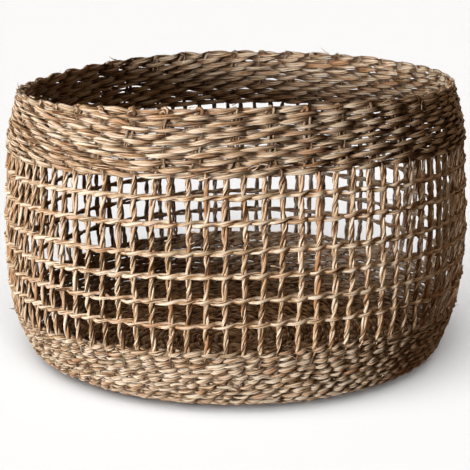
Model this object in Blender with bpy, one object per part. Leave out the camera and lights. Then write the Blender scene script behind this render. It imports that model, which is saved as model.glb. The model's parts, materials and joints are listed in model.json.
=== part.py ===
"""Round seagrass storage basket: twined weft rows over folded upright stakes.

Built in metres, +Z up, origin on the floor under the middle of the base.
Every ring is a regular polygon with one side for each folded stake cord, so
both uprights of a cord lie flat against the middle of that side.
"""
import math

import bmesh
import bpy
from mathutils import Matrix, Vector

# Overall shape
HEIGHT = 0.254
MAX_RADIUS = 0.210
CLEARANCE = 0.0003
FOLDED_CORDS = 44

# Outer wall: (share of the height, share of the widest radius)
WALL_SHAPE = (
    (0.000, 0.726),
    (0.012, 0.815),
    (0.040, 0.885),
    (0.075, 0.913),
    (0.120, 0.933),
    (0.177, 0.957),
    (0.250, 0.981),
    (0.450, 1.000),
    (0.650, 0.992),
    (0.790, 0.979),
    (0.850, 0.970),
    (0.925, 0.947),
    (1.000, 0.920),
)

# Stake cord
CORD_RADIUS = 0.0021
LOOP_RISE = 0.0045
LEG_SEAT_Z = 0.036
LEG_HEIGHTS = (LEG_SEAT_Z, 0.088, 0.142, 0.195)
LOOP_STEPS = 4
LOOP_HALF_WIDTH = 0.0034

# Twined bands
WALL_THICKNESS = 0.0076
TOP_BAND_BOTTOM = 0.2006
TOP_BAND_TOP = HEIGHT - LOOP_RISE
BASE_BAND_TOP = 0.0592
SLOT_FLOOR_Z = LEG_SEAT_Z - 0.0012
CUT_OVERRUN = 0.003

# Openwork rows
ROW_HEIGHTS = (0.1846, 0.1646, 0.1428, 0.1229, 0.1027, 0.0821)
STRAND_HEIGHT = 0.0034
STRAND_DEPTH = 0.0020

# Base
BASE_RADIUS = 0.1510
BASE_THICKNESS = 0.0078
LAP_WIDTH = 0.0090
LAP_HEIGHT = 0.0040
# Inside of the bottom curve: (height, extra thickness where the wall turns under)
INNER_CURVE = ((0.0190, 0.0010), (0.0115, 0.0040))

SIDE_ANGLE = math.tau / FOLDED_CORDS
WELD_DISTANCE = 0.00001
FIBRE_ROUGHNESS = 0.85
SMOOTH_ANGLE = math.radians(35.0)

STRAW = (0.66, 0.53, 0.36, 1.0)
PALE_STRAW = (0.72, 0.60, 0.42, 1.0)
TAN = (0.58, 0.44, 0.28, 1.0)
BROWN = (0.30, 0.21, 0.13, 1.0)


def clear_scene():
    """Remove every object of the open file."""
    for item in list(bpy.data.objects):
        bpy.data.objects.remove(item, do_unlink=True)


def wall_radius(z):
    """Outer radius of the wall at height z, along the wall's polygon line."""
    share = min(max(z / HEIGHT, 0.0), 1.0)
    for (low, low_r), (high, high_r) in zip(WALL_SHAPE, WALL_SHAPE[1:]):
        if share <= high:
            part = (share - low) / (high - low)
            return MAX_RADIUS * (low_r + part * (high_r - low_r))
    return MAX_RADIUS * WALL_SHAPE[-1][1]


def cord_line_radius(z):
    """Radius of the stake cord's centre line: mid-wall at the cord's own bend points."""
    heights = LEG_HEIGHTS + (HEIGHT - CORD_RADIUS,)
    radii = [wall_radius(height) - WALL_THICKNESS / 2 for height in heights]
    pairs = list(zip(heights, radii))
    for (low, low_r), (high, high_r) in zip(pairs, pairs[1:]):
        if z <= high:
            return low_r + (z - low) / (high - low) * (high_r - low_r)
    return radii[-1]


def make_material(name, colour, roughness):
    """Dry plant fibre of one colour."""
    material = bpy.data.materials.new(name)
    material.use_nodes = True
    shader = material.node_tree.nodes["Principled BSDF"]
    shader.inputs["Base Color"].default_value = colour
    shader.inputs["Roughness"].default_value = roughness
    shader.inputs["Metallic"].default_value = 0.0
    material.diffuse_color = colour
    return material


def add_object(name, data, material):
    """Link one named object that carries one material."""
    item = bpy.data.objects.new(name, data)
    bpy.context.scene.collection.objects.link(item)
    data.materials.append(material)
    return item


def turned_mesh(name, section, closed=True):
    """Turn a (radius, z) section about +Z into a body with one flat side for each folded cord."""
    bm = bmesh.new()
    to_corner = 1.0 / math.cos(SIDE_ANGLE / 2)
    start = Matrix.Rotation(-SIDE_ANGLE / 2, 3, "Z")
    verts = [bm.verts.new(start @ Vector((radius * to_corner, 0.0, z))) for radius, z in section]
    edges = [bm.edges.new(pair) for pair in zip(verts, verts[1:])]
    if closed:
        edges.append(bm.edges.new((verts[-1], verts[0])))
    bmesh.ops.spin(
        bm,
        geom=verts + edges,
        cent=(0.0, 0.0, 0.0),
        axis=(0.0, 0.0, 1.0),
        angle=math.tau,
        steps=FOLDED_CORDS,
        use_merge=True,
    )
    bmesh.ops.remove_doubles(bm, verts=bm.verts[:], dist=WELD_DISTANCE)
    bmesh.ops.recalc_face_normals(bm, faces=bm.faces[:])
    mesh = bpy.data.meshes.new(name)
    bm.to_mesh(mesh)
    bm.free()
    mesh.shade_smooth()
    mesh.set_sharp_from_angle(angle=SMOOTH_ANGLE)
    return mesh


def add_slot_cutter(name, low_z, high_z):
    """One box for each folded cord, leaning with the cord line between two heights."""
    low = Vector((cord_line_radius(low_z), 0.0, low_z))
    high = Vector((cord_line_radius(high_z), 0.0, high_z))
    run = high - low
    lean = math.atan2(run.x, run.z)
    cord_space = 2 * (CORD_RADIUS + CLEARANCE)
    length = leg_spacing() + cord_space
    bm = bmesh.new()
    for index in range(FOLDED_CORDS):
        size = Matrix.Diagonal((cord_space, length, run.length, 1.0))
        place = (
            Matrix.Rotation(index * SIDE_ANGLE, 4, "Z")
            @ Matrix.Translation((low + high) / 2)
            @ Matrix.Rotation(lean, 4, "Y")
        )
        bmesh.ops.create_cube(bm, size=1.0, matrix=place @ size)
    mesh = bpy.data.meshes.new(name)
    bm.to_mesh(mesh)
    bm.free()
    cutter = bpy.data.objects.new(name, mesh)
    bpy.context.scene.collection.objects.link(cutter)
    cutter.hide_render = True
    cutter.display_type = "WIRE"
    return cutter


def cut_slots(item, cutter):
    """Cut the cord slots out of a band."""
    cut = item.modifiers.new("cord slots", "BOOLEAN")
    cut.operation = "DIFFERENCE"
    cut.solver = "EXACT"
    cut.object = cutter


def leg_spacing():
    """Distance between the two uprights of one folded cord."""
    return math.pi * (2 * MAX_RADIUS - WALL_THICKNESS) / (2 * FOLDED_CORDS)


def folded_cord_curve(material):
    """A cord that rises as one upright, folds over the rim and comes down as the next."""
    curve = bpy.data.curves.new("folded cord", "CURVE")
    curve.dimensions = "3D"
    curve.bevel_depth = CORD_RADIUS
    curve.bevel_resolution = 0
    curve.use_fill_caps = True
    half = leg_spacing() / 2
    loop_top = HEIGHT - CORD_RADIUS
    loop_base = loop_top - LOOP_HALF_WIDTH
    legs = [(half, z) for z in LEG_HEIGHTS] + [(LOOP_HALF_WIDTH, loop_base)]
    outline = [(-across, z) for across, z in legs]
    for step in range(1, LOOP_STEPS):
        turn = math.pi * step / LOOP_STEPS
        across = -LOOP_HALF_WIDTH * math.cos(turn)
        outline.append((across, loop_base + LOOP_HALF_WIDTH * math.sin(turn)))
    outline += reversed(legs)
    spline = curve.splines.new("POLY")
    spline.points.add(len(outline) - 1)
    for point, (across, z) in zip(spline.points, outline):
        point.co = (cord_line_radius(z), across, z, 1.0)
    spline.use_smooth = True
    curve.materials.append(material)
    return curve


def top_band_section():
    """Section of the dense band under the rim."""
    middle = (TOP_BAND_BOTTOM + TOP_BAND_TOP) / 2
    heights = (TOP_BAND_BOTTOM, middle, TOP_BAND_TOP)
    outer = [(cord_line_radius(z) + WALL_THICKNESS / 2, z) for z in heights]
    inner = [(cord_line_radius(z) - WALL_THICKNESS / 2, z) for z in reversed(heights)]
    return outer + inner


def base_band_section():
    """Section of the dense lower band, from its lap on the base up to the openwork."""
    lower_shape = [(share * HEIGHT, ratio * MAX_RADIUS) for share, ratio in WALL_SHAPE]
    outer = [(radius, z) for z, radius in lower_shape if z < LEG_SEAT_Z]
    outer[0] = (BASE_RADIUS, 0.0)
    straight = (LEG_SEAT_Z, BASE_BAND_TOP)
    outer += [(cord_line_radius(z) + WALL_THICKNESS / 2, z) for z in straight]
    inner = [(cord_line_radius(z) - WALL_THICKNESS / 2, z) for z in reversed(straight)]
    foot = BASE_RADIUS + LAP_WIDTH
    inner += [(wall_radius(z) - WALL_THICKNESS - extra, z) for z, extra in INNER_CURVE]
    inner.append((foot, BASE_THICKNESS))
    inner.append((foot, LAP_HEIGHT))
    inner.append((BASE_RADIUS, LAP_HEIGHT))
    return outer + inner


def strand_section(height, side):
    """Section of one weft strand: side +1 lies outside the uprights, side -1 inside."""
    near = CORD_RADIUS + CLEARANCE
    far = near + STRAND_DEPTH
    low = height - STRAND_HEIGHT / 2
    high = height + STRAND_HEIGHT / 2
    corners = ((far, low), (far, high), (near, high), (near, low))
    return [(cord_line_radius(z) + side * offset, z) for offset, z in corners]


def base_disc_section():
    """Section of the stepped round base, whose upper step laps over the base band's lip."""
    lower = BASE_RADIUS - CLEARANCE
    upper = BASE_RADIUS + LAP_WIDTH - CLEARANCE
    step = LAP_HEIGHT + CLEARANCE
    return [
        (0.0, 0.0),
        (lower, 0.0),
        (lower, step),
        (upper, step),
        (upper, BASE_THICKNESS),
        (0.0, BASE_THICKNESS),
    ]


def add_bands(materials):
    """Add the two dense bands and cut the slots that hold the folded cords."""
    top = add_object("top_band", turned_mesh("top_band", top_band_section()), materials["straw"])
    base = add_object("base_band", turned_mesh("base_band", base_band_section()), materials["pale"])
    top_cutter = add_slot_cutter(
        "top_slot_cutter", TOP_BAND_BOTTOM - CUT_OVERRUN, TOP_BAND_TOP + CUT_OVERRUN
    )
    base_cutter = add_slot_cutter("base_slot_cutter", SLOT_FLOOR_Z, BASE_BAND_TOP + CUT_OVERRUN)
    cut_slots(top, top_cutter)
    cut_slots(base, base_cutter)


def add_openwork_rows(materials):
    """Add the outer and the inner strand of each openwork row, counted from the top."""
    for index, height in enumerate(ROW_HEIGHTS):
        for place, side in (("outer", 1.0), ("inner", -1.0)):
            name = f"row_{index + 1}_{place}_strand"
            add_object(name, turned_mesh(name, strand_section(height, side)), materials["straw"])


def add_stakes(materials):
    """Add every folded cord, each turned to its own flat side."""
    cord = folded_cord_curve(materials["tan"])
    for index in range(FOLDED_CORDS):
        item = bpy.data.objects.new(f"stake_pair_{index + 1:02d}", cord)
        bpy.context.scene.collection.objects.link(item)
        item.rotation_euler.z = index * SIDE_ANGLE


def build_basket():
    """Build every piece of the basket."""
    clear_scene()
    materials = {
        "straw": make_material("straw", STRAW, FIBRE_ROUGHNESS),
        "pale": make_material("pale straw", PALE_STRAW, FIBRE_ROUGHNESS),
        "tan": make_material("tan cord", TAN, FIBRE_ROUGHNESS),
        "brown": make_material("brown base", BROWN, FIBRE_ROUGHNESS),
    }
    add_stakes(materials)
    add_openwork_rows(materials)
    add_bands(materials)
    disc = turned_mesh("base_disc", base_disc_section(), closed=False)
    add_object("base_disc", disc, materials["brown"])


build_basket()
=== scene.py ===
"""Round seagrass storage basket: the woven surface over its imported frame."""

from __future__ import annotations

import json
import logging
import math
from dataclasses import dataclass, field
from enum import Enum

import bpy
import numpy as np
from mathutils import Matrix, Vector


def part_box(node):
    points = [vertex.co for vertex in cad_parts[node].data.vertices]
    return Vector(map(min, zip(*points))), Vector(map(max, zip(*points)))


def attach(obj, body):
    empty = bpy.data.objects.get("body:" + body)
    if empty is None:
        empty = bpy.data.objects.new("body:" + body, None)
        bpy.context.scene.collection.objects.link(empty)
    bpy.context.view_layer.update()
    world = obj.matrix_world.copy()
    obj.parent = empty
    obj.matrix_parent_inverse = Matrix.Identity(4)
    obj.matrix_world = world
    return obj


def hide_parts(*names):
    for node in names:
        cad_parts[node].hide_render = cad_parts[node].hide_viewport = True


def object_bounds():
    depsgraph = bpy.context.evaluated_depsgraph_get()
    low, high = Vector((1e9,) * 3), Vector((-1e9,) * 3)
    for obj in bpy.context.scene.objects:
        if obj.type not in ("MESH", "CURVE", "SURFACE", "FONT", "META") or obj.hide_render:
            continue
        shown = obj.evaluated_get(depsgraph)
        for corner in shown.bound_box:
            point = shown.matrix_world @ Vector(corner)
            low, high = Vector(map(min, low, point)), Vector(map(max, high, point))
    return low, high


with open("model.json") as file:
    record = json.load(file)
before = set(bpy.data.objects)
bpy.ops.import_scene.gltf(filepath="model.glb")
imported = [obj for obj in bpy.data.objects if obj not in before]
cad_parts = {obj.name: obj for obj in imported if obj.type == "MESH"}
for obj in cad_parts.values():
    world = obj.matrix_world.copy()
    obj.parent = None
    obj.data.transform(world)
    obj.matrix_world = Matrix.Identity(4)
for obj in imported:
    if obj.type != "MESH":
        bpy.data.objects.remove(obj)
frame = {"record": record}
cad_low, cad_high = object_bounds()

LOG = logging.getLogger("basket")
Array = np.ndarray
Colour = tuple[float, float, float]
Pair = tuple[float, float]
Floats = tuple[float, ...]
Zone = tuple[float, float, float, float]
WHITE: Colour = (1.0, 1.0, 1.0)

STRAND_MAP = "strand_run"
FULL_TURN = math.tau
SMALLEST = 1e-6
TINY_STEP = 1e-9
WAVE_PLACES = np.linspace(0, 1, 181)

# Twist of the blades inside a strand: ridges round it, and radians per metre
BLADE_RIDGES = 2
BLADE_SPIN = 48.0

# How the painted shade of a crevice fades from a strand's edges, outside and inside the basket
CREVICE_FALL = 2.5
HOLLOW_FALL = 0.5
HOLLOW_FROM = 0.60
INNER_FROM = 0.35


class Side(Enum):
    """Which of the two wefts of a twined row a strand is."""

    FIRST = 0
    SECOND = 1


class Lay(Enum):
    """How a strand's ends are finished."""

    RING = "ring"
    OPEN = "open"


class Lit(Enum):
    """What a light falls on, as the link state of the floor."""

    FLOOR = "INCLUDE"
    BASKET = "EXCLUDE"


# ---- Form of the basket ----


def eased(part: Array) -> Array:
    """Soft step of a share: 0 up to 0, 1 from 1 on, and smooth between."""
    part = np.clip(part, 0.0, 1.0)
    return part**2 * (3 - 2 * part)


def unit(vectors: Array) -> Array:
    """The same directions at length 1."""
    return vectors / np.linalg.norm(vectors, axis=-1, keepdims=True)


def squared(normal: Array, tangent: Array) -> Array:
    """The part of the normals that is square to unit tangents, at length 1."""
    return unit(normal - np.sum(normal * tangent, axis=1)[:, None] * tangent)


def run_along(points: Array) -> Array:
    """Length from the first point of a line to each of its points."""
    return np.concatenate([[0.0], np.cumsum(np.linalg.norm(np.diff(points, axis=0), axis=1))])


def around(radius: Array | float, angle: Array, z: Array) -> Array:
    """Points round the basket's axis; the angle grows to the right from the front."""
    return np.column_stack([radius * np.sin(angle), -radius * np.cos(angle), z])


def soft_noise(rng: np.random.Generator, at: Array, knots: int, closed: bool = False) -> Array:
    """Smooth random wander between about -1 and 1.

    Args:
        rng: seeded source of the knot values.
        at: places from 0 to 1 along the run.
        knots: how many random values lie along the run.
        closed: True if the run ends where it starts.

    Returns:
        One value for each place.
    """
    knots = max(knots, 3)
    values = rng.uniform(-1.0, 1.0, knots)
    if closed:
        position = (np.asarray(at) % 1.0) * knots
        index = np.floor(position).astype(int)
        picks = [values[(index + step) % knots] for step in (-1, 0, 1, 2)]
    else:
        position = np.clip(at, 0.0, 1.0) * (knots - 1)
        index = np.minimum(np.floor(position).astype(int), knots - 2)
        picks = [values[np.clip(index + step, 0, knots - 1)] for step in (-1, 0, 1, 2)]
    part = position - index
    before, start, end, after = picks
    slope_in = (end - before) / 2
    slope_out = (after - start) / 2
    square, cube = part**2, part**3
    return (
        (2 * cube - 3 * square + 1) * start
        + (cube - 2 * square + part) * slope_in
        + (3 * square - 2 * cube) * end
        + (cube - square) * slope_out
    )


@dataclass
class WallForm:
    """The wall's curve from the base edge to the rim, and how it leans and sags."""

    height: float
    radius: float
    thickness: float = 0.0076
    samples: int = 40
    sway_from: float = 0.004
    sway_full: float = 0.062
    side_sag: float = -0.0063
    right_lift: float = 0.0044
    front_droop: float = 0.0022
    front_droop_heights: Floats = (0.070, 0.115, 0.205, 0.250)
    front_droop_angle: float = -0.30
    front_droop_reach: float = 0.60
    back_droop: float = 0.0046
    back_droop_heights: Floats = (0.130, 0.205, 0.250)
    outline_wander: float = 0.0008
    # Waves round the outline: (lobes, size, shift)
    outline_waves: tuple[tuple[int, float, float], ...] = ((2, 1.0, 0.7), (3, 0.6, 2.1), (5, 0.4, 4.0))
    # Outer wall: (share of the height, share of the widest radius)
    shape: tuple[Pair, ...] = (
        (0.000, 0.726),
        (0.012, 0.815),
        (0.040, 0.885),
        (0.075, 0.913),
        (0.120, 0.933),
        (0.177, 0.957),
        (0.250, 0.981),
        (0.350, 0.994),
        (0.450, 1.000),
        (0.550, 0.998),
        (0.650, 0.992),
        (0.790, 0.979),
        (0.850, 0.970),
        (0.925, 0.947),
        (1.000, 0.920),
    )
    line: dict[str, Array] = field(default_factory=dict)

    def __post_init__(self) -> None:
        """Sample the middle line of the wall from the base edge to the rim."""
        shares = np.array(self.shape)
        points = np.column_stack([shares[:, 1] * self.radius, shares[:, 0] * self.height])
        outline = self._smoothed(points, self.samples)
        step = unit(np.gradient(outline, axis=0))
        normal = np.column_stack([step[:, 1], -step[:, 0]])
        middle = outline - normal * self.thickness / 2
        run = run_along(middle)
        self.line = {
            "run": run,
            "radius": middle[:, 0],
            "z": np.maximum.accumulate(middle[:, 1] + np.arange(len(run)) * TINY_STEP),
            "normal_r": normal[:, 0],
            "normal_z": normal[:, 1],
        }

    @staticmethod
    def _smoothed(points: Array, steps: int) -> Array:
        """A smooth line through points.

        Args:
            points: two numbers for each point.
            steps: samples between neighbouring points.

        Returns:
            The samples, evenly spread in each stretch.
        """
        padded = np.vstack([2 * points[0] - points[1], points, 2 * points[-1] - points[-2]])
        part = np.linspace(0.0, 1.0, steps, endpoint=False)[:, None]
        pieces = []
        for before, start, end, after in zip(padded, padded[1:], padded[2:], padded[3:]):
            slope = (end - before) * part
            bend = (2 * before - 5 * start + 4 * end - after) * part**2
            turn = (3 * start - before - 3 * end + after) * part**3
            pieces.append(0.5 * (2 * start + slope + bend + turn))
        return np.vstack([*pieces, points[-1:]])

    def run_at(self, z: float) -> float:
        """Length along the wall from the base edge up to the height z."""
        return float(np.interp(z, self.line["z"], self.line["run"]))

    def radius_at(self, z: Array) -> Array:
        """Radius of the wall's middle line at heights."""
        return np.interp(z, self.line["z"], self.line["radius"])

    def length(self) -> float:
        """Length along the wall from the base edge to the rim."""
        return float(self.line["run"][-1])

    def ring(self, run: Array) -> tuple[Array, Array, Array, Array]:
        """Wall radius, height and outward normal at lengths along the wall.

        Args:
            run: lengths from the base edge.

        Returns:
            Radius, z, and the normal's radial and upward parts.
        """
        keys = ("radius", "z", "normal_r", "normal_z")
        return tuple(np.interp(run, self.line["run"], self.line[key]) for key in keys)

    def sway(self, places: Array) -> Array:
        """Move points as the hand-made wall leans and sags.

        Args:
            places: points of the true round basket.

        Returns:
            The moved points.
        """
        moved = places.copy()
        height = places[:, 2]
        radius = np.maximum(np.hypot(places[:, 0], places[:, 1]), SMALLEST)
        right = places[:, 0] / radius
        back = places[:, 1] / radius
        share = eased((height - self.sway_from) / (self.sway_full - self.sway_from))
        moved[:, 2] += share * (self.side_sag * right**2 + self.right_lift * right)
        angle = np.arctan2(right, -back)
        droop = np.interp(height, self.front_droop_heights, (0.0, 1.0, 1.0, 0.0))
        away = (angle - self.front_droop_angle) / self.front_droop_reach
        moved[:, 2] -= self.front_droop * droop * np.exp(-(away**2))
        droop = np.interp(height, self.back_droop_heights, (0.0, 1.0, 0.0))
        moved[:, 2] -= self.back_droop * droop * np.clip(back, 0.0, 1.0)
        wave = sum(size * np.sin(lobes * angle + shift) for lobes, size, shift in self.outline_waves)
        scale = 1 + share * self.outline_wander * wave / self.radius
        moved[:, :2] *= scale[:, None]
        return moved


# ---- Strands ----


@dataclass
class StrandLook:
    """Colour draw of one strand, kept as attributes of its points."""

    # tone holds a strand's own tone; on twined wefts it also carries a painted highlight and painted shade
    # along each stitch
    tone: Array | float
    warmth: Array | float
    # Painted shade of the strand, from 0 in the open to 1 at the darkest
    painted_shade: Array | float
    seed: float


class StrandMesh:
    """Collects swept strands and makes one mesh piece of them."""

    def __init__(self, name: str) -> None:
        """Start an empty piece called name."""
        self.name = name
        self.points: list[Array] = []
        self.corners: list[Array] = []
        self.sizes: list[Array] = []
        self.run_map: list[Array] = []
        self.marks: dict[str, list[Array]] = {"tone": [], "warmth": [], "painted_shade": [], "seed": []}
        self.count = 0

    def sweep(
        self,
        path: Array,
        normal: Array,
        width: Array,
        depth: Array,
        look: StrandLook,
        lay: Lay = Lay.RING,
        sides: int = 8,
        ridge: float = 0.11,
        crevice: Pair = (0.0, 0.0),
        inner: float = 0.0,
    ) -> None:
        """Sweep a flattened, ridged section along a path.

        Args:
            path: centre points.
            normal: outward directions at the points.
            width: section size across the normal.
            depth: section size along the normal.
            look: colour draw of the strand.
            lay: ring or open ends.
            sides: points round the section.
            ridge: depth of the blade ridges, as a share of the section.
            crevice: painted shade on the two edges where neighbours touch.
            inner: painted shade on the faces turned to the inside of the basket.
        """
        count = len(path)
        if lay is Lay.RING:
            tangent = np.roll(path, -1, axis=0) - np.roll(path, 1, axis=0)
            run = run_along(np.vstack([path, path[:1]]))
        else:
            tangent = np.gradient(path, axis=0)
            run = run_along(path)
        tangent = unit(tangent)
        out = squared(normal, tangent)
        across = np.cross(tangent, out)
        turn = FULL_TURN * np.arange(sides) / sides
        swell = 1 + ridge * np.cos(BLADE_RIDGES * (turn[None, :] + BLADE_SPIN * run[:count, None]))
        along_out = (depth / 2)[:, None] * np.cos(turn)[None, :] * swell
        along_across = (width / 2)[:, None] * np.sin(turn)[None, :] * swell
        places = (
            path[:, None, :]
            + along_out[:, :, None] * out[:, None, :]
            + along_across[:, :, None] * across[:, None, :]
        )
        self._skin(run, count, sides, lay)
        self.points.append(places.reshape(-1, 3))
        for key, values in (("tone", look.tone), ("warmth", look.warmth)):
            self.marks[key].append(np.repeat(np.broadcast_to(values, (count,)), sides))
        self.marks["painted_shade"].append(self._painted_shade_points(path, places, turn, look.painted_shade, crevice, inner).ravel())
        self.marks["seed"].append(np.full(count * sides, look.seed))
        self.count += count * sides

    def _skin(self, run: Array, count: int, sides: int, lay: Lay) -> None:
        """Add the faces of one strand, with their places on the strand map.

        Args:
            run: length along the strand at each ring of points, and at the end of a closed one.
            count: rings of points.
            sides: points round the section.
            lay: ring or open ends.
        """
        rings = count if lay is Lay.RING else count - 1
        row = np.arange(rings)[:, None]
        col = np.arange(sides)[None, :]
        here, there = row * sides, (row + 1) % count * sides
        next_col = (col + 1) % sides
        corners = [here + col, here + next_col, there + next_col, there + col]
        quads = np.stack(corners, axis=-1).reshape(-1, 4)
        low, high = run[row] + 0 * col, run[row + 1] + 0 * col
        left, right = (col + 0 * row) / sides, (col + 1 + 0 * row) / sides
        uv = np.stack([low, left, low, right, high, right, high, left], axis=-1).reshape(-1, 2)
        self.corners.append((quads + self.count).ravel())
        self.sizes.append(np.full(len(quads), 4))
        self.run_map.append(uv)
        if lay is Lay.OPEN:
            self._cap(np.arange(sides)[::-1], run[0], sides)
            self._cap((count - 1) * sides + np.arange(sides), run[-1], sides)

    def _cap(self, loop: Array, run: float, sides: int) -> None:
        """Close an end with one flat face.

        Args:
            loop: the section's point numbers, in order.
            run: length along the strand at this end.
            sides: points round the section.
        """
        self.corners.append(loop + self.count)
        self.sizes.append(np.array([sides]))
        self.run_map.append(np.column_stack([np.full(sides, run), np.arange(sides) / sides]))

    @staticmethod
    def _painted_shade_points(
        path: Array,
        places: Array,
        turn: Array,
        painted_shade: Array,
        crevice: Pair,
        inner: float,
    ) -> Array:
        """Painted shade of each point, from 0 in the open to 1 deep in the weave.

        Args:
            path: centre points.
            places: the section's points at each centre.
            turn: angles of the section's points.
            painted_shade: painted shade of each centre point.
            crevice: painted shade on the two edges.
            inner: painted shade on the faces turned to the inside.

        Returns:
            One value for each point.
        """
        # Painted shade on the strand's edges where neighbours touch
        edge = np.sin(turn)
        edge = np.where(edge > 0, crevice[0], crevice[1]) * np.abs(edge) ** CREVICE_FALL
        outward = path * (1.0, 1.0, 0.0)
        outward /= np.maximum(np.linalg.norm(outward, axis=1), SMALLEST)[:, None]
        facing = unit(places - path[:, None, :])
        inward = -np.sum(facing * outward[:, None, :], axis=2)
        # Painted shade on the edges and faces turned to the inside of the basket
        hollow_shade = edge[None, :] ** HOLLOW_FALL * np.clip(inward + HOLLOW_FROM, 0.0, 1.0)
        shaded = inner * np.clip(inward + INNER_FROM, 0.0, 1.0)
        strand = np.broadcast_to(painted_shade, (len(path),))[:, None]
        return np.maximum.reduce([strand + 0 * inward, edge[None, :] + 0 * inward, shaded, hollow_shade])

    def triangles(self) -> int:
        """Number of triangles so far."""
        return int(sum((sizes - 2).sum() for sizes in self.sizes))

    def build(
        self, form: WallForm, material: bpy.types.Material, slot: str, stands_for: list[str]
    ) -> None:
        """Make the piece, sway it, dress it and tie it to the frame.

        Args:
            form: the wall form, which holds the sway.
            material: finish of the strands.
            slot: not used.
            stands_for: CAD nodes that the piece replaces.
        """
        points = form.sway(np.vstack(self.points))
        points[:, 2] = np.maximum(points[:, 2], 0.0)
        corners = np.concatenate(self.corners).astype(np.int32)
        sizes = np.concatenate(self.sizes).astype(np.int32)
        mesh = bpy.data.meshes.new(self.name)
        mesh.vertices.add(len(points))
        mesh.vertices.foreach_set("co", points.astype(np.float32).ravel())
        mesh.loops.add(len(corners))
        mesh.loops.foreach_set("vertex_index", corners)
        mesh.polygons.add(len(sizes))
        starts = np.concatenate([[0], np.cumsum(sizes)[:-1]]).astype(np.int32)
        mesh.polygons.foreach_set("loop_start", starts)
        layer = mesh.uv_layers.new(name=STRAND_MAP)
        layer.uv.foreach_set("vector", np.vstack(self.run_map).astype(np.float32).ravel())
        for key, values in self.marks.items():
            mark = mesh.attributes.new(key, "FLOAT", "POINT")
            mark.data.foreach_set("value", np.concatenate(values).astype(np.float32))
        mesh.update(calc_edges=True)
        mesh.validate()
        mesh.shade_smooth()
        mesh.materials.append(material)
        piece = bpy.data.objects.new(self.name, mesh)
        bpy.context.scene.collection.objects.link(piece)
        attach(piece, "root")
        if stands_for:
            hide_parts(*stands_for)
        LOG.info("%s: %d triangles", self.name, self.triangles())


# ---- Finishes ----


class Value:
    """A shader number that adds its own Math nodes."""

    def __init__(self, bench: "NodeBench", socket: bpy.types.NodeSocket) -> None:
        """Wrap a socket of the bench's material."""
        self.bench = bench
        self.socket = socket

    def _math(self, operation: str, *terms: "Value | float") -> "Value":
        """Add one Math node.

        Args:
            operation: the Math node's operation.
            terms: its inputs, in order.

        Returns:
            The result.
        """
        inputs = dict(enumerate(terms))
        node = self.bench.add("ShaderNodeMath", {"operation": operation}, inputs)
        return Value(self.bench, node.outputs[0])

    def __add__(self, other: "Value | float") -> "Value":
        """Sum."""
        return self._math("ADD", self, other)

    __radd__ = __add__

    def __mul__(self, other: "Value | float") -> "Value":
        """Product."""
        return self._math("MULTIPLY", self, other)

    __rmul__ = __mul__

    def __sub__(self, other: "Value | float") -> "Value":
        """Difference."""
        return self._math("SUBTRACT", self, other)

    def __rsub__(self, other: "Value | float") -> "Value":
        """Reflected difference."""
        return self._math("SUBTRACT", other, self)

    def sine(self) -> "Value":
        """Sine."""
        return self._math("SINE", self)

    def cosine(self) -> "Value":
        """Cosine."""
        return self._math("COSINE", self)

    def stepped(self, low: float, high: float) -> "Value":
        """Soft step from 0 at low to 1 at high."""
        node = self.bench.add(
            "ShaderNodeMapRange",
            {"interpolation_type": "SMOOTHSTEP"},
            {"Value": self, "From Min": low, "From Max": high},
        )
        return Value(self.bench, node.outputs[0])


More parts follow.
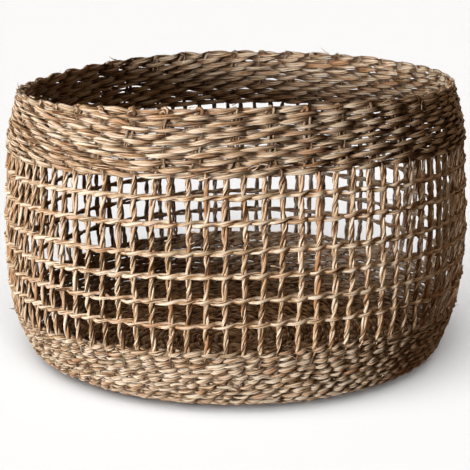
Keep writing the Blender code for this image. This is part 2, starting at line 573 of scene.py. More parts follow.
class NodeBench:
    """Builds one material's nodes."""

    def __init__(self, name: str) -> None:
        """Start a material with an empty node tree."""
        self.material = bpy.data.materials.new(name)
        self.material.use_nodes = True
        self.tree = self.material.node_tree
        self.tree.nodes.clear()

    def add(self, kind: str, settings: dict | None = None, inputs: dict | None = None) -> bpy.types.Node:
        """Add a node.

        Args:
            kind: the node's type.
            settings: its own settings, set first; "stops" are a ramp's stops.
            inputs: socket values or links, by socket name or number.

        Returns:
            The node.
        """
        node = self.tree.nodes.new(kind)
        for key, setting in (settings or {}).items():
            if key == "stops":
                self._set_stops(node, setting)
            else:
                setattr(node, key, setting)
        for key, value in (inputs or {}).items():
            if isinstance(value, Value):
                value = value.socket
            if isinstance(value, bpy.types.NodeSocket):
                self.tree.links.new(value, node.inputs[key])
            else:
                node.inputs[key].default_value = value
        return node

    def finish(self, kind: str, inputs: dict) -> bpy.types.Material:
        """End with a surface shader.

        Args:
            kind: the shader node's type.
            inputs: its socket values or links.

        Returns:
            The finished material.
        """
        shader = self.add(kind, {}, inputs)
        self.add("ShaderNodeOutputMaterial", {}, {0: shader.outputs[0]})
        return self.material

    @staticmethod
    def _set_stops(node: bpy.types.Node, stops: list[tuple[float, Colour]]) -> None:
        """Lay a ramp's stops.

        Args:
            node: the Color Ramp node.
            stops: place and colour of each stop.
        """
        elements = node.color_ramp.elements
        while len(elements) < len(stops):
            elements.new(0.5)
        for element, (place, colour) in zip(elements, stops):
            element.position = place
            element.color = (*colour, 1.0)

    def mark(self, name: str) -> Value:
        """The piece's own number attribute of this name."""
        node = self.add("ShaderNodeAttribute", {"attribute_name": name})
        return Value(self, node.outputs["Fac"])

    def noise(self, vector: bpy.types.NodeSocket, detail: float, rough: float) -> Value:
        """Noise from 0 to 1 at a place already scaled.

        Args:
            vector: where to read the noise.
            detail: number of octaves.
            rough: weight of the fine octaves.

        Returns:
            The noise.
        """
        node = self.add(
            "ShaderNodeTexNoise",
            {"noise_dimensions": "3D"},
            {"Vector": vector, "Scale": 1.0, "Detail": detail, "Roughness": rough},
        )
        return Value(self, node.outputs["Fac"])

    def place(self, x: Value | float, y: Value | float, z: Value | float) -> bpy.types.NodeSocket:
        """A vector of three numbers."""
        return self.add("ShaderNodeCombineXYZ", {}, {0: x, 1: y, 2: z}).outputs[0]

    def mixed(self, share: Value, base: bpy.types.NodeSocket, colour: Colour) -> bpy.types.NodeSocket:
        """Blend a colour over another.

        Args:
            share: how much of the colour shows.
            base: the colour beneath.
            colour: the colour laid over it.

        Returns:
            The blend.
        """
        settings = {"data_type": "RGBA", "clamp_factor": True}
        node = self.add("ShaderNodeMix", settings, {0: share, 6: base, 7: (*colour, 1.0)})
        return node.outputs[2]


@dataclass(frozen=True)
class Streaks:
    """Light and dark marks drawn out along a strand."""

    girth: float
    pace: float
    shift: float
    detail: float
    rough: float
    weight: float

    def read(self, turn: tuple[Value, Value | float], run: Value, seed: Value) -> Value:
        """Read the marks.

        Args:
            turn: place round the strand, as two numbers.
            run: length along the strand.
            seed: the strand's own draw, which sets its marks apart from the next strand's.

        Returns:
            A number from 0 to 1, about 0.5 on average.
        """
        across, out = (part * self.girth for part in turn)
        place = run.bench.place(across, out, run * self.pace + seed * self.shift)
        return run.bench.noise(place, self.detail, self.rough)

    def shade(self, marks: Value) -> Value:
        """How much the marks lighten or darken the strand."""
        return (marks - 0.5) * self.weight


@dataclass(frozen=True)
class SeagrassFinish:
    """Dry seagrass: blades of several tints twisted into one strand."""

    name: str
    lightness: float = 0.0
    # deep is the darkest tint, and also the colour that the painted shade mixes towards
    deep: Colour = (0.030, 0.012, 0.004)
    brown: Colour = (0.220, 0.104, 0.040)
    tan: Colour = (0.450, 0.264, 0.128)
    straw: Colour = (0.670, 0.495, 0.330)
    pale: Colour = (0.840, 0.720, 0.570)
    tint_places: Floats = (0.00, 0.22, 0.45, 0.68, 0.95)
    rust: Colour = (0.420, 0.190, 0.072)
    rust_step: Pair = (0.62, 1.0)
    rust_share: float = 0.75
    sage: Colour = (0.430, 0.370, 0.235)
    sage_step: Pair = (0.72, 1.1)
    sage_share: float = 0.35
    tint_mix: float = 0.8
    blades: Streaks = Streaks(girth=0.85, pace=30.0, shift=71.0, detail=1.0, rough=0.5, weight=1.80)
    fibres: Streaks = Streaks(girth=2.1, pace=46.0, shift=37.0, detail=2.0, rough=0.6, weight=2.90)
    patches: Streaks = Streaks(girth=13.0, pace=110.0, shift=19.0, detail=2.0, rough=0.6, weight=0.75)
    # Painted shade in the troughs between the blade ridges
    groove_step: Pair = (-0.35, -0.95)
    groove_painted_shade: float = 0.20
    # Strength of the painted shade taken from the strands' attribute
    painted_shade_strength: float = 0.86
    roughness: float = 0.62
    roughness_spread: float = 0.24
    specular: float = 0.25
    sheen: float = 0.02
    sheen_roughness: float = 0.5
    bump: float = 0.55
    bump_depth: float = 0.0009
    fibre_relief: float = 0.7
    blade_relief: float = 0.9

    def build(self) -> bpy.types.Material:
        """Make the material."""
        bench = NodeBench(self.name)
        run_map = bench.add("ShaderNodeUVMap", {"uv_map": STRAND_MAP})
        split = bench.add("ShaderNodeSeparateXYZ", {}, {0: run_map.outputs[0]})
        run, round_share = Value(bench, split.outputs[0]), Value(bench, split.outputs[1])
        seed, tone, warmth, painted_shade = (bench.mark(key) for key in ("seed", "tone", "warmth", "painted_shade"))
        angle = round_share * FULL_TURN + run * BLADE_SPIN
        # Painted shade in the troughs between the blade ridges
        groove_shade = (angle * float(BLADE_RIDGES)).cosine().stepped(*self.groove_step)
        turn = (angle.cosine(), angle.sine())
        blades = self.blades.read(turn, run, seed)
        fibres = self.fibres.read(turn, run, seed)
        patches = self.patches.read((seed, 0.0), run, seed)
        marks = self.blades.shade(blades) + self.fibres.shade(fibres) + self.patches.shade(patches)
        shade = tone + marks - groove_shade * self.groove_painted_shade + self.lightness
        tints = (self.deep, self.brown, self.tan, self.straw, self.pale)
        stops = list(zip(self.tint_places, tints))
        ramp = bench.add("ShaderNodeValToRGB", {"stops": stops}, {0: shade})
        rust_mask = (warmth + (blades - 0.5) * self.tint_mix).stepped(*self.rust_step)
        sage_mask = (1.0 - warmth + (fibres - 0.5) * self.tint_mix).stepped(*self.sage_step)
        rusted = bench.mixed(rust_mask * self.rust_share, ramp.outputs[0], self.rust)
        greened = bench.mixed(sage_mask * self.sage_share, rusted, self.sage)
        # Painted shade from the strand attribute, mixed towards the deep tint
        with_painted_shade = bench.mixed(painted_shade.stepped(0.0, 1.0) * self.painted_shade_strength, greened, self.deep)
        relief = fibres * self.fibre_relief + blades * self.blade_relief
        depth = {"Strength": self.bump, "Distance": self.bump_depth, "Height": relief}
        bump = bench.add("ShaderNodeBump", {}, depth)
        spread = self.roughness_spread
        return bench.finish(
            "ShaderNodeBsdfPrincipled",
            {
                "Base Color": with_painted_shade,
                "Roughness": fibres * spread + (self.roughness - spread / 2),
                "Normal": bump.outputs[0],
                "Specular IOR Level": self.specular,
                "Sheen Weight": self.sheen,
                "Sheen Roughness": self.sheen_roughness,
            },
        )


# ---- Sub-assemblies ----


@dataclass(frozen=True)
class Weft:
    """How one kind of weft is cut, laid and coloured; sizes in metres.

    A stitch runs over one stake or pair of stakes. Places along a stitch are shares of it, and
    leaf_places are shares of two stitches, the outer one first and the one behind the wall second.
    """

    width: float
    depth: float
    swing: float
    rise: float
    swing_wander: float = 0.16
    rise_wander: float = 0.30
    run_wander: float = 0.0004
    phase_wander: float = 0.42
    size_wander: float = 0.12
    lag: float = 0.34
    flat: float = 1.10
    waist: float = 0.30
    thin_depth: float = 0.80
    steps: int = 9
    sides: int = 8
    plies: int = 2
    ply_share: float = 0.62
    ply_roll: float = 0.9
    ply_lift: float = 0.6
    deep_relief: Pair = (0.9, 1.2)
    deep_slim: float = 0.15
    deep_point: float = 0.3
    leaf_places: Floats = (0.00, 0.04, 0.10, 0.17, 0.25, 0.36, 0.44, 0.51, 0.60, 0.90, 1.00)
    leaf_widths: Floats = (0.50, 0.40, 0.74, 0.96, 1.00, 0.90, 0.74, 0.62, 1.02, 1.06, 0.50)
    tone: float = 0.60
    tone_spread: float = 0.19
    tone_own: float = 0.8
    tone_shared: float = 0.6
    tone_reach: int = 5
    # Painted highlight on the front part of each stitch and painted shade towards its end, added to the
    # tone
    painted_light_places: Floats = (0.00, 0.10, 0.30, 0.55, 0.85, 1.00)
    painted_light_shifts: Floats = (-0.04, 0.16, 0.17, 0.02, -0.14, -0.10)
    warmth: float = 0.45
    warmth_spread: float = 0.45
    warmth_reach: int = 3
    # Painted shade: where the weft dives under its neighbour or lies behind the wall, on the edges where
    # rows and plies touch, and on faces turned inside
    painted_shade_weight: float = 1.0
    end_places: Floats = (0.0, 0.07, 0.65, 0.90, 1.0)
    end_painted_shades: Floats = (0.85, 0.0, 0.0, 0.55, 1.0)
    deep_end_places: Floats = (0.0, 0.07, 0.32, 0.62, 0.86, 1.0)
    deep_end_painted_shades: Floats = (0.85, 0.0, 0.0, 0.42, 0.88, 1.0)
    behind_painted_shade: float = 0.12
    behind_rise: float = 2.0
    crevice: Pair = (1.0, 0.60)
    between: float = 0.25
    inner: float = 0.40


@dataclass
class TwinedRow:
    """Two wefts that twist round each other and trap the stakes between them."""

    form: WallForm
    rng: np.random.Generator
    weft: Weft
    half_turns: int
    run: float
    shared: Array
    start: float = 0.0
    stagger: float = 0.0
    zones: tuple[Zone, ...] = ((-180.0, 1.0, 1.0, 1.0), (180.0, 1.0, 1.0, 1.0))
    seam_reach: int = 6

    def _ways(self, angle: Array) -> tuple[Array, Array, Array]:
        """How the weaver's hand changes round the wall.

        Args:
            angle: places round the wall.

        Returns:
            Lean of the stitches, their relief and their stagger, as shares of the full ones.
        """
        degrees = (np.degrees(angle) + 180.0) % 360.0 - 180.0
        table = np.array(self.zones)
        return tuple(np.interp(degrees, table[:, 0], table[:, column]) for column in (1, 2, 3))

    def _noise(self, share: Array, knots: int) -> Array:
        """The row's own wander along the ring."""
        return soft_noise(self.rng, share, knots, True)

    def _line(
        self, share: Array, angle: Array, phase: Array, slant: Array, relief: Array
    ) -> tuple[Array, Array]:
        """Centre line of one weft, in and out between the stakes.

        Args:
            share: places along the ring.
            angle: places round the wall.
            phase: turn of the weft round the other one.
            slant: lean of the stitches.
            relief: how far they stand out.

        Returns:
            The points, and the wall's normals there.
        """
        weft = self.weft
        swing = weft.swing * relief * (1 + weft.swing_wander * self._noise(share, self.half_turns))
        rise = weft.rise * (1 + weft.rise_wander * self._noise(share, self.half_turns)) * slant
        drift = weft.run_wander * self._noise(share, self.half_turns // 2)
        drift = drift + np.interp(share, np.linspace(0, 1, len(self.shared)), self.shared)
        radius, z, normal_r, normal_z = self.form.ring(self.run + drift + rise * np.sin(phase))
        wave = np.cos(phase + weft.lag)
        out = swing * np.sign(wave) * np.abs(wave) ** weft.flat
        path = around(radius + normal_r * out, angle, z + normal_z * out)
        return path, around(normal_r, angle, normal_z)

    def weave(self, mesh: StrandMesh, side: Side) -> None:
        """Add one weft of the row.

        Args:
            mesh: the piece that takes the weft.
            side: which of the two wefts.
        """
        weft = self.weft
        count = self.half_turns * weft.steps
        share = np.arange(count) / count
        seam = int(self.rng.integers(-self.seam_reach, self.seam_reach + 1)) * 2 / self.half_turns
        angle = (share + 0.5 + seam) * FULL_TURN
        slant, relief, stagger = self._ways(angle)
        start = self.start + self.stagger * stagger
        phase = math.pi * (self.half_turns * share - start + side.value)
        phase = phase + weft.phase_wander * self._noise(share, self.half_turns * 2)
        path, normal = self._line(share, angle, phase, slant, relief)
        low, high = weft.deep_relief
        deep = np.clip((relief - low) / (high - low), 0.0, 1.0)
        stitch = (phase / math.pi + 0.5) % 1.0
        leaf = np.interp((phase / FULL_TURN + 0.25) % 1.0, weft.leaf_places, weft.leaf_widths)
        leaf = leaf - weft.deep_point * deep * (1 - leaf)
        swell = 1 + weft.size_wander * self._noise(share, self.half_turns)
        swell = swell * (1 - weft.deep_slim * deep)
        width = weft.width * (1 - weft.waist + weft.waist * leaf) * swell
        depth = weft.depth * (weft.thin_depth + (1 - weft.thin_depth) * leaf) * swell
        # Painted shade along the stitch
        painted_shade = self._painted_shade_along(stitch, phase, deep)
        # Painted highlight and painted shade along the stitch, as a shift in tone
        shift = np.interp(stitch, weft.painted_light_places, weft.painted_light_shifts)
        common = weft.tone_shared * self._noise(share, self.half_turns // weft.tone_reach)
        patch = self._noise(share, self.half_turns // weft.warmth_reach)
        warmth = weft.warmth + weft.warmth_spread * patch
        beside = unit(np.cross(np.roll(path, -1, axis=0) - np.roll(path, 1, axis=0), normal))
        roll = weft.ply_roll * self._noise(share, self.half_turns)
        across = np.cos(roll)[:, None] * beside + weft.ply_lift * np.sin(roll)[:, None] * normal
        ply_width = width * (weft.ply_share if weft.plies > 1 else 1.0)
        # Painted shade on the edges where the rows and the two plies touch
        below, above = weft.crevice
        edges = [(weft.between, above), (below, weft.between)] if weft.plies > 1 else [(below, above)]
        for number, crevice in enumerate(edges):
            offset = (width - ply_width) * (number / max(weft.plies - 1, 1) - 0.5)
            own = weft.tone_own * self._noise(share, self.half_turns)
            tone = weft.tone + shift + weft.tone_spread * (own + common)
            look = StrandLook(tone, warmth, painted_shade, float(self.rng.uniform()))
            mesh.sweep(
                path + offset[:, None] * across,
                normal,
                ply_width,
                depth,
                look,
                Lay.RING,
                weft.sides,
                crevice=crevice,
                inner=weft.inner,
            )

    def _painted_shade_along(self, stitch: Array, phase: Array, deep: Array) -> Array:
        """Painted shade of the weft where it dives under its neighbour and on the stretches behind the
        wall.

        Args:
            stitch: places along the stitch.
            phase: turn of the weft round the other one.
            deep: how far this stretch is of the deep kind.

        Returns:
            A share for each place, 1 for the darkest.
        """
        weft = self.weft
        end = np.interp(stitch, weft.end_places, weft.end_painted_shades)
        deep_end = np.interp(stitch, weft.deep_end_places, weft.deep_end_painted_shades)
        behind = np.clip(-weft.behind_rise * np.cos(phase + weft.lag), 0.0, 1.0)
        return weft.painted_shade_weight * np.maximum(end + (deep_end - end) * deep, weft.behind_painted_shade * behind)


@dataclass
class StakeCords:
    """The folded two-ply cords that make the uprights, one piece each."""

    form: WallForm
    pairs: int
    foot_z: float = 0.022
    step: float = 0.0017
    rim_drop: float = 0.00437
    ply_radius: float = 0.00122
    ply_size: float = 0.0033
    ply_flat: float = 0.0025
    ply_ridge: float = 0.07
    ply_sides: int = 7
    ply_loose: float = 0.22
    ply_swell: float = 0.13
    lay_length: float = 0.0290
    lay_wander: float = 1.1
    fold_half: float = 0.0020
    fold_points: int = 9
    lean: float = 0.0024
    lean_spread: float = 0.55
    bow: float = 0.0011
    kink: float = 0.0007
    depth_wander: float = 0.0005
    # The two legs are drawn together and thinned inside the top band, above band_low
    band_low: float = 0.1985
    grip_height: float = 0.016
    thin_heights: Floats = (0.0, 0.008, 0.036, 0.049)
    thin_shares: Floats = (1.0, 0.72, 0.72, 1.20)
    # and thinned inside the base band
    foot_heights: Floats = (0.050, 0.060)
    foot_shares: Floats = (0.6, 1.0)
    # Painted shade on the cord where it runs hidden inside the base and top bands
    hidden_heights: Floats = (0.0, 0.050, 0.060, 0.200, 0.207, 0.2465, 0.250)
    hidden_painted_shades: Floats = (0.7, 0.7, 0.0, 0.0, 0.6, 0.6, 0.0)
    tone: float = 0.585
    cord_tone_spread: float = 0.055
    ply_tone_spread: float = 0.05
    tone_wander: float = 0.13
    warmth: float = 0.5
    ply_warmth_spread: float = 0.14
    warmth_wander: float = 0.30
    # Painted shade on the faces turned to the inside of the basket
    inner: float = 0.80
    seed: int = 11

    def spacing(self) -> float:
        """Angle between neighbouring uprights."""
        return FULL_TURN / (2 * self.pairs)

    def build(self, finish: bpy.types.Material) -> None:
        """Make every folded cord.

        Args:
            finish: the cords' material.
        """
        for index in range(self.pairs):
            rng = np.random.default_rng(self.seed * 1000 + index)
            name = f"stake_pair_{index + 1:02d}"
            mesh = StrandMesh(f"{name}_cord")
            self._fold(mesh, rng, index)
            mesh.build(self.form, finish, "stake_cord", [name])

    def _outline(self, rng: np.random.Generator) -> Array:
        """One cord laid flat: up the left leg, over the fold and down the right leg.

        Args:
            rng: the cord's own random draw.

        Returns:
            Distance from the cord's middle and height of each point.
        """
        top = self.form.height - self.rim_drop
        heights = np.arange(self.foot_z, top - self.fold_half, self.step)
        share = (heights - heights[0]) / (heights[-1] - heights[0])
        grip = eased((heights - self.band_low) / self.grip_height)
        legs = []
        for hand in (-1.0, 1.0):
            wander = self.bow * soft_noise(rng, share, 9) + self.kink * soft_noise(rng, share, 22)
            lean = self.lean * rng.normal(1.0, self.lean_spread) * (share - 0.5)
            apart = hand * self.spacing() * self.form.radius_at(heights) / 2
            across = (apart + wander + lean) * (1 - grip) + hand * self.fold_half * grip
            legs.append(np.column_stack([across, heights]))
        left, right = legs
        turn = np.linspace(0.0, math.pi, self.fold_points)[1:-1]
        over = heights[-1] + (top - heights[-1]) * np.sin(turn)
        fold = np.column_stack([-self.fold_half * np.cos(turn), over])
        return np.vstack([left, fold, right[::-1]])

    def _thickness(self, z: Array) -> Array:
        """Size of the cord at heights, as a share of its bare size."""
        above = np.interp(z - self.band_low, self.thin_heights, self.thin_shares)
        return above * np.interp(z, self.foot_heights, self.foot_shares)

    def _fold(self, mesh: StrandMesh, rng: np.random.Generator, index: int) -> None:
        """Lay one cord up, over the rim and down again.

        Args:
            mesh: the piece that takes the cord.
            rng: the cord's own random draw.
            index: number of the cord, anticlockwise from +X.
        """
        middle = index * 2 * self.spacing() + math.pi / 2
        outline = self._outline(rng)
        length = run_along(outline)
        even = np.arange(0.0, length[-1], self.step)
        share = even / length[-1]
        across, z = (np.interp(even, length, outline[:, column]) for column in (0, 1))
        radius = self.form.radius_at(z) + self.depth_wander * soft_noise(rng, share, 14)
        angle = middle + across / radius
        centre = around(radius, angle, z)
        tangent = unit(np.gradient(centre, axis=0))
        out = squared(around(1.0, angle, np.zeros_like(angle)), tangent)
        beside = np.cross(tangent, out)
        thickness = self._thickness(z)
        twist = FULL_TURN * even / self.lay_length + self.lay_wander * soft_noise(rng, share, 30)
        twist = twist + rng.uniform(0, FULL_TURN)
        cord_tone = self.tone + rng.normal(0.0, self.cord_tone_spread)
        hidden_shade = np.interp(z, self.hidden_heights, self.hidden_painted_shades)
        for ply in range(2):
            phase = twist + ply * math.pi
            facing = np.cos(phase)[:, None] * out + np.sin(phase)[:, None] * beside
            offset = self.ply_radius * (1 + self.ply_loose * soft_noise(rng, share, 30)) * thickness
            swell = (1 + self.ply_swell * soft_noise(rng, share, 40)) * thickness
            tone = cord_tone + rng.normal(0, self.ply_tone_spread)
            tone = tone + self.tone_wander * soft_noise(rng, share, 26)
            warmth = self.warmth + rng.normal(0, self.ply_warmth_spread)
            warmth = warmth + self.warmth_wander * soft_noise(rng, share, 12)
            mesh.sweep(
                centre + offset[:, None] * facing,
                facing,
                self.ply_size * swell,
                self.ply_flat * swell,
                StrandLook(tone, warmth, hidden_shade, float(rng.uniform())),
                Lay.OPEN,
                sides=self.ply_sides,
                ridge=self.ply_ridge,
                inner=self.inner,
            )


@dataclass
class OpenworkRows:
    """Single twined rows that cross the uprights between the two bands."""

    form: WallForm
    stakes: int
    rows: int = 6
    wave: float = 0.0014
    wave_knots: int = 12
    weft: Weft = Weft(
        width=0.0038,
        depth=0.0027,
        swing=0.0027,
        rise=0.0009,
        run_wander=0.0003,
        steps=8,
        plies=1,
        tone=0.63,
        # Painted shade where the weft dives, on its edges and on its inner faces
        painted_shade_weight=0.3,
        crevice=(0.35, 0.15),
        inner=0.80,
    )
    seed: int = 23

    def build(self, finish: bpy.types.Material) -> None:
        """Make both wefts of every row, each its own piece.

        Args:
            finish: the wefts' material.
        """
        for number in range(1, self.rows + 1):
            low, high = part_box(f"row_{number}_outer_strand")
            run = self.form.run_at((low[2] + high[2]) / 2)
            rng = np.random.default_rng(self.seed * 100 + number)
            wave = self.wave * soft_noise(rng, WAVE_PLACES, self.wave_knots, True)
            row = TwinedRow(self.form, rng, self.weft, self.stakes, run, wave, start=0.5)
            for side, place in ((Side.FIRST, "outer"), (Side.SECOND, "inner")):
                mesh = StrandMesh(f"row_{number}_weft_{side.name.lower()}")
                row.weave(mesh, side)
                mesh.build(self.form, finish, "weft_strand", [f"row_{number}_{place}_strand"])


@dataclass
class DenseBand:
    """Packed twined rows, made as a few pieces from the bottom up.

    A zone is degrees from the front growing right, then the slant, relief and stagger there.
    """

    form: WallForm
    half_turns: int
    node: str
    parts: tuple[str, ...]
    weft: Weft
    zones: tuple[Zone, ...]
    seed: int
    first_inset: float
    last_inset: float
    start: float
    start_spread: float
    stagger: float
    wave_knots: int
    wave: float = 0.0006
    column_lean: float = 0.0

    def runs(self) -> Array:
        """Where each row lies, as its length along the wall."""
        raise NotImplementedError

    def build(self, finish: bpy.types.Material) -> None:
        """Make the band's pieces.

        Args:
            finish: the band's material.
        """
        rng = np.random.default_rng(self.seed)
        runs = self.runs()
        cuts = [share * len(runs) // len(self.parts) for share in range(len(self.parts) + 1)]
        for part, low, high in zip(self.parts, cuts, cuts[1:]):
            mesh = StrandMesh(f"{self.node}_{part}")
            for number in range(low, high):
                wave = self.wave * soft_noise(rng, WAVE_PLACES, self.wave_knots, True)
                start = self.start + rng.uniform(-self.start_spread, self.start_spread)
                row = TwinedRow(
                    self.form,
                    rng,
                    self.weft,
                    self.half_turns,
                    float(runs[number]),
                    wave,
                    start=start - self.column_lean * number,
                    stagger=(-self.stagger, self.stagger)[number % 2],
                    zones=self.zones,
                )
                for side in Side:
                    row.weave(mesh, side)
            mesh.build(self.form, finish, f"{self.node}_weave", [self.node])


@dataclass
class TopBand(DenseBand):
    """Dense twining over pairs of uprights, under the rim."""

    node: str = "top_band"
    parts: tuple[str, ...] = ("lower", "upper")
    rows: int = 11
    weft: Weft = Weft(
        width=0.0054,
        depth=0.0029,
        swing=0.0026,
        rise=0.0013,
        flat=0.85,
        waist=0.72,
        steps=11,
        sides=6,
        tone_spread=0.24,
        # Painted shade on the inner faces and between the plies
        inner=0.24,
        between=0.55,
        ply_share=0.58,
        ply_roll=1.3,
    )
    zones: tuple[Zone, ...] = (
        (-180.0, 0.85, 1.20, 0.8),
        (-110.0, 0.85, 1.15, 0.8),
        (-100.0, 0.70, 1.00, 1.0),
        (-90.0, -1.00, 0.92, 1.0),
        (-45.0, -1.00, 0.90, 1.0),
        (-25.0, -0.80, 0.92, 1.0),
        (-16.0, 0.70, 1.05, 0.9),
        (0.0, 0.95, 1.18, 0.8),
        (30.0, 0.62, 1.16, 0.6),
        (60.0, 0.40, 1.16, 0.5),
        (95.0, 0.75, 1.20, 0.6),
        (180.0, 0.85, 1.20, 0.8),
    )
    seed: int = 37
    first_inset: float = 0.0022
    last_inset: float = 0.0011
    start: float = 0.0
    start_spread: float = 0.10
    stagger: float = 0.24
    wave_knots: int = 24
    column_lean: float = 0.012

    def runs(self) -> Array:
        """Even rows from the band's lower edge to the rim."""
        low, high = (self.form.run_at(corner[2]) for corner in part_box(self.node))
        return np.linspace(low + self.first_inset, high - self.last_inset, self.rows)


@dataclass
class BaseBand(DenseBand):
    """Dense twining over single uprights, curving under to the base."""

    node: str = "base_band"
    parts: tuple[str, ...] = ("under", "middle", "upper")
    pitch: float = 0.0050
    weft: Weft = Weft(
        width=0.0053,
        depth=0.0026,
        swing=0.0017,
        rise=0.0010,
        flat=0.9,
        waist=0.70,
        steps=7,
        sides=5,
        size_wander=0.20,
        between=0.50,
        # Painted shade between the plies and on the inner faces
        ply_share=0.60,
        ply_roll=1.1,
        inner=0.76,
        deep_slim=0.06,
        tone=0.64,
        phase_wander=0.7,
    )
    zones: tuple[Zone, ...] = (
        (-180.0, 1.1, 1.05, 1.0),
        (-90.0, 0.8, 1.00, 1.0),
        (-40.0, 1.0, 1.00, 1.0),
        (0.0, 1.1, 1.05, 1.0),
        (40.0, 0.8, 1.00, 1.0),
        (75.0, 0.5, 1.00, 1.0),
        (180.0, 1.1, 1.05, 1.0),
    )
    seed: int = 41
    first_inset: float = 0.0022
    last_inset: float = 0.0020
    start: float = 0.5
    start_spread: float = 0.22
    stagger: float = 0.25
    wave_knots: int = 30

    def runs(self) -> Array:
        """Rows about one pitch apart, from the base edge to the band's upper edge."""
        top = self.form.run_at(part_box(self.node)[1][2]) - self.last_inset
        return np.linspace(self.first_inset, top, int(round(top / self.pitch)))


@dataclass
class BaseWeave:
    """The base: two wefts twined in one spiral from the middle to the wall."""

    form: WallForm
    pitch: float = 0.0052
    stitch: float = 0.0125
    step: float = 0.0024
    start: float = 0.0035
    edge_inset: float = 0.0035
    samples: int = 20000
    knot_spacing: float = 0.02
    phase_wander: float = 0.5
    swing: float = 0.0023
    swing_wander: float = 0.25
    sideways: float = 0.0014
    drift: float = 0.0007
    lowest: float = 0.0014
    width: float = 0.0050
    waist: float = 0.42
    depth: float = 0.0026
    size_wander: float = 0.18
    show_fall: float = 1.3
    tone: float = 0.50
    tone_spread: float = 0.20
    warmth: float = 0.45
    warmth_spread: float = 0.4
    # Strength of the painted shade where the spiral weft dips out of view
    painted_shade_weight: float = 0.8
    seed: int = 53

    def _spiral(self, edge: float) -> tuple[Array, Array, Array]:
        """Even steps along the spiral.

        Args:
            edge: radius where it ends.

        Returns:
            Length, angle and radius at each step.
        """
        turns = (edge - self.start) / self.pitch
        angle = np.linspace(0.0, turns * FULL_TURN, self.samples)
        radius = self.start + self.pitch * angle / FULL_TURN
        length = np.concatenate([[0.0], np.cumsum(np.hypot(np.diff(radius), radius[1:] * np.diff(angle)))])
        even = np.arange(0.0, length[-1], self.step)
        return even, np.interp(even, length, angle), np.interp(even, length, radius)

    def build(self, finish: bpy.types.Material) -> None:
        """Make the base as one piece.

        Args:
            finish: the base's material.
        """
        low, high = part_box("base_disc")
        middle = (low[2] + high[2]) / 2
        rng = np.random.default_rng(self.seed)
        mesh = StrandMesh("base_weave")
        even, angle, radius = self._spiral((high[0] - low[0]) / 2 - self.edge_inset)
        share = even / even[-1]
        knots = int(even[-1] / self.knot_spacing)
        normal = around(0.0, angle, np.ones_like(angle))
        for side in Side:
            phase = math.pi * even / self.stitch + side.value * math.pi
            phase = phase + self.phase_wander * soft_noise(rng, share, knots)
            swing = self.swing * (1 + self.swing_wander * soft_noise(rng, share, knots))
            drift = self.sideways * np.sin(phase) + self.drift * soft_noise(rng, share, knots)
            height = np.maximum(middle + swing * np.cos(phase), self.lowest)
            show = np.abs(np.cos(phase)) ** self.show_fall
            swell = 1 + self.size_wander * soft_noise(rng, share, knots)
            tone = self.tone + self.tone_spread * soft_noise(rng, share, knots)
            warmth = self.warmth + self.warmth_spread * soft_noise(rng, share, knots // 3)
            # Painted shade where the weft dips under its neighbour
            painted_shade = self.painted_shade_weight * (1 - show)
            mesh.sweep(
                around(radius + drift, angle, height),
                normal,
                self.width * (1 - self.waist + self.waist * show) * swell,
                self.depth * swell,
                StrandLook(tone, warmth, painted_shade, float(rng.uniform())),
                Lay.OPEN,
            )
        mesh.build(self.form, finish, "base_weave", ["base_disc"])


@dataclass
class LooseFibres:
    """Short stray fibres that stand off the weave."""

    form: WallForm
    count: int = 210
    # Stretches of the wall, as shares of its length, and the share of the fibres on each
    zones: tuple[Pair, ...] = ((0.02, 0.30), (0.30, 0.82), (0.82, 0.97), (0.97, 1.0))
    zone_shares: Floats = (0.40, 0.14, 0.32, 0.14)
    inside_share: float = 0.35
    root_depth: float = 0.0030
    lengths: Pair = (0.004, 0.010)
    lifts: Pair = (0.08, 0.42)
    lift_curve: float = 1.6
    turn: float = 0.7
    sizes: Pair = (0.0006, 0.0011)
    breadth: float = 1.5
    taper: float = 0.7
    tones: Pair = (0.5, 0.9)
    warmth: float = 0.5
    points: int = 9
    sides: int = 5
    seed: int = 67

    def build(self, finish: bpy.types.Material) -> None:
        """Make the stray fibres as one piece.

        Args:
            finish: the fibres' material.
        """
        rng = np.random.default_rng(self.seed)
        mesh = StrandMesh("loose_fibres")
        for _ in range(self.count):
            self._fibre(mesh, rng)
        mesh.build(self.form, finish, "weft_strand", [])

    def _fibre(self, mesh: StrandMesh, rng: np.random.Generator) -> None:
        """Add one fibre that starts in the weave and curls out of it.

        Args:
            mesh: the piece that takes the fibre.
            rng: the fibres' random draw.
        """
        angle = np.array([rng.uniform(0, FULL_TURN)])
        low, high = self.zones[int(rng.choice(len(self.zones), p=self.zone_shares))]
        run = rng.uniform(low, high) * self.form.length()
        radius, z, normal_r, normal_z = self.form.ring(np.array([run]))
        hand = -1.0 if rng.uniform() < self.inside_share else 1.0
        normal = around(normal_r, angle, normal_z)[0] * hand
        along = np.array([math.cos(angle[0]), math.sin(angle[0]), 0.0]) * rng.choice([-1.0, 1.0])
        up = np.cross(normal, along)
        length = rng.uniform(*self.lengths)
        start = around(radius, angle, z)[0] + normal * self.root_depth
        reach = np.linspace(0.0, 1.0, self.points)
        lift = rng.uniform(*self.lifts) * length
        turn = rng.uniform(-self.turn, self.turn) * length
        path = (
            start
            + np.outer(reach, along) * length
            + np.outer(reach**self.lift_curve, normal) * lift
            + np.outer(reach**2, up) * turn
        )
        size = rng.uniform(*self.sizes) * (1 - self.taper * reach)
        tone = rng.uniform(*self.tones)
        mesh.sweep(
            path,
            np.tile(normal, (self.points, 1)),
            size * self.breadth,
            size,
            StrandLook(tone, self.warmth, 0.0, float(rng.uniform())),
            Lay.OPEN,
            sides=self.sides,
            ridge=0.0,
        )


# ---- Studio ----


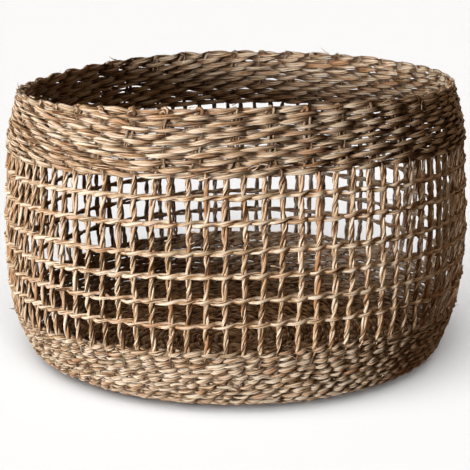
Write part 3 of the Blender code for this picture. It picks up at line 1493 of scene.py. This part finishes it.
@dataclass(frozen=True)
class Sun:
    """An even light from one direction; angles in degrees, azimuth to the right of the front."""

    name: str
    strength: float
    spread: float
    azimuth: float
    elevation: float
    lit: Lit
    tint: Colour = WHITE

    def hang(self, receivers: bpy.types.Collection) -> None:
        """Add the light.

        Args:
            receivers: the surfaces that it falls on.
        """
        light = bpy.data.lights.new(self.name, "SUN")
        light.energy = self.strength
        light.color = self.tint
        light.angle = math.radians(self.spread)
        lamp = bpy.data.objects.new(self.name, light)
        bpy.context.scene.collection.objects.link(lamp)
        lamp.light_linking.receiver_collection = receivers
        lamp.rotation_euler = (math.radians(90.0 - self.elevation), 0.0, math.radians(self.azimuth))


@dataclass
class Studio:
    """Pale floor and backdrop, soft light from the left, and the camera.

    The camera's distance and height are in basket radii, and its lens in millimetres.
    """

    radius: float
    distance: float = 6.01
    eye_height: float = 1.969
    dip: float = math.radians(13.75)
    lens: float = 108.536
    sensor: float = 36.0
    warm: Colour = (1.0, 0.80, 0.60)
    sky: Colour = (1.0, 0.66, 0.42)
    sky_strength: float = 0.124
    floor_size: float = 60.0
    floor_colour: Colour = (0.50, 0.504, 0.510)
    wall_colour: Colour = (0.955, 0.955, 0.955)
    wall_radius: float = 28.0
    wall_height: float = 40.0
    wall_middle: float = 19.0

    def build(self) -> None:
        """Set up the floor, the lights, the sky and the camera."""
        self._lights(self._floor())
        self._backdrop()
        self._camera()

    def _floor(self) -> bpy.types.Object:
        """Lay a wide pale floor under the basket."""
        bpy.ops.object.select_all(action="DESELECT")
        bpy.ops.mesh.primitive_plane_add(size=self.floor_size, location=(0.0, 0.0, 0.0))
        floor = bpy.context.object
        floor.name = "floor"
        paint = {"Base Color": (*self.floor_colour, 1.0), "Roughness": 0.9, "Specular IOR Level": 0.1}
        floor.data.materials.append(NodeBench("pale floor").finish("ShaderNodeBsdfPrincipled", paint))
        floor.visible_diffuse = False
        floor.visible_glossy = False
        return floor

    def _backdrop(self) -> None:
        """Hang a pale studio wall all round, far off; it lights and shades nothing."""
        bpy.ops.mesh.primitive_cylinder_add(
            vertices=96,
            radius=self.wall_radius,
            depth=self.wall_height,
            end_fill_type="NOTHING",
            location=(0.0, 0.0, self.wall_middle),
        )
        wall = bpy.context.object
        wall.name = "backdrop"
        glow = {"Color": (*self.wall_colour, 1.0), "Strength": 1.0}
        wall.data.materials.append(NodeBench("pale wall").finish("ShaderNodeEmission", glow))
        wall.visible_diffuse = False
        wall.visible_glossy = False
        wall.visible_transmission = False
        wall.visible_shadow = False

    def _lights(self, floor: bpy.types.Object) -> None:
        """Hang a soft key at the left and give the room an even sky.

        Args:
            floor: the floor, which has lights of its own.
        """
        world = bpy.data.worlds.new("studio")
        world.use_nodes = True
        backing = world.node_tree.nodes["Background"]
        backing.inputs[0].default_value = (*self.sky, 1.0)
        backing.inputs[1].default_value = self.sky_strength
        bpy.context.scene.world = world
        receivers = {lit: self._receivers(floor, lit) for lit in Lit}
        suns = (
            Sun("key", 7.75, 14.0, azimuth=-46.0, elevation=1.0, lit=Lit.BASKET),
            Sun("above", 0.45, 60.0, azimuth=-30.0, elevation=58.0, lit=Lit.BASKET, tint=self.warm),
            Sun("back", 1.6, 40.0, azimuth=180.0, elevation=12.0, lit=Lit.BASKET, tint=self.warm),
            Sun("floor", 5.4, 60.0, azimuth=-22.0, elevation=52.0, lit=Lit.FLOOR),
            Sun("floor front", 5.0, 50.0, azimuth=0.0, elevation=18.0, lit=Lit.FLOOR),
        )
        for sun in suns:
            sun.hang(receivers[sun.lit])
        bpy.context.scene.view_settings.view_transform = "Standard"

    @staticmethod
    def _receivers(floor: bpy.types.Object, lit: Lit) -> bpy.types.Collection:
        """Say which surfaces a light falls on.

        Args:
            floor: the floor.
            lit: whether the floor is the one surface lit or the one left out.

        Returns:
            The collection that a light takes as its receivers.
        """
        receivers = bpy.data.collections.new(f"lit {lit.name.lower()}")
        receivers.objects.link(floor)
        receivers.collection_objects[0].light_linking.link_state = lit.value
        return receivers

    def _camera(self) -> None:
        """Set the camera in front of the basket, looking a little down."""
        data = bpy.data.cameras.new("camera")
        data.sensor_width = self.sensor
        data.lens = self.lens
        camera = bpy.data.objects.new("camera", data)
        bpy.context.scene.collection.objects.link(camera)
        camera.location = (0.0, -self.distance * self.radius, self.eye_height * self.radius)
        camera.rotation_euler = (math.pi / 2 - self.dip, 0.0, 0.0)
        bpy.context.scene.camera = camera


def main() -> None:
    """Build the basket and its studio."""
    logging.basicConfig(level=logging.INFO, format="%(message)s")
    bpy.ops.object.select_all(action="DESELECT")
    pairs = sum(1 for entry in frame["record"]["subparts"] if entry["node"].startswith("stake_pair_"))
    height = cad_high[2] - cad_low[2]
    radius = (cad_high[0] - cad_low[0]) / 2
    form = WallForm(height=height, radius=radius)
    straw = SeagrassFinish("seagrass band").build()
    cord = SeagrassFinish("seagrass cord", lightness=0.03).build()
    weft = SeagrassFinish("seagrass weft", lightness=0.08).build()
    base = SeagrassFinish("seagrass base", lightness=-0.06).build()
    Studio(radius).build()
    StakeCords(form, pairs).build(cord)
    OpenworkRows(form, 2 * pairs).build(weft)
    TopBand(form, pairs).build(straw)
    BaseBand(form, 2 * pairs).build(straw)
    BaseWeave(form).build(base)
    LooseFibres(form).build(weft)


if __name__ == "__main__":
    main()
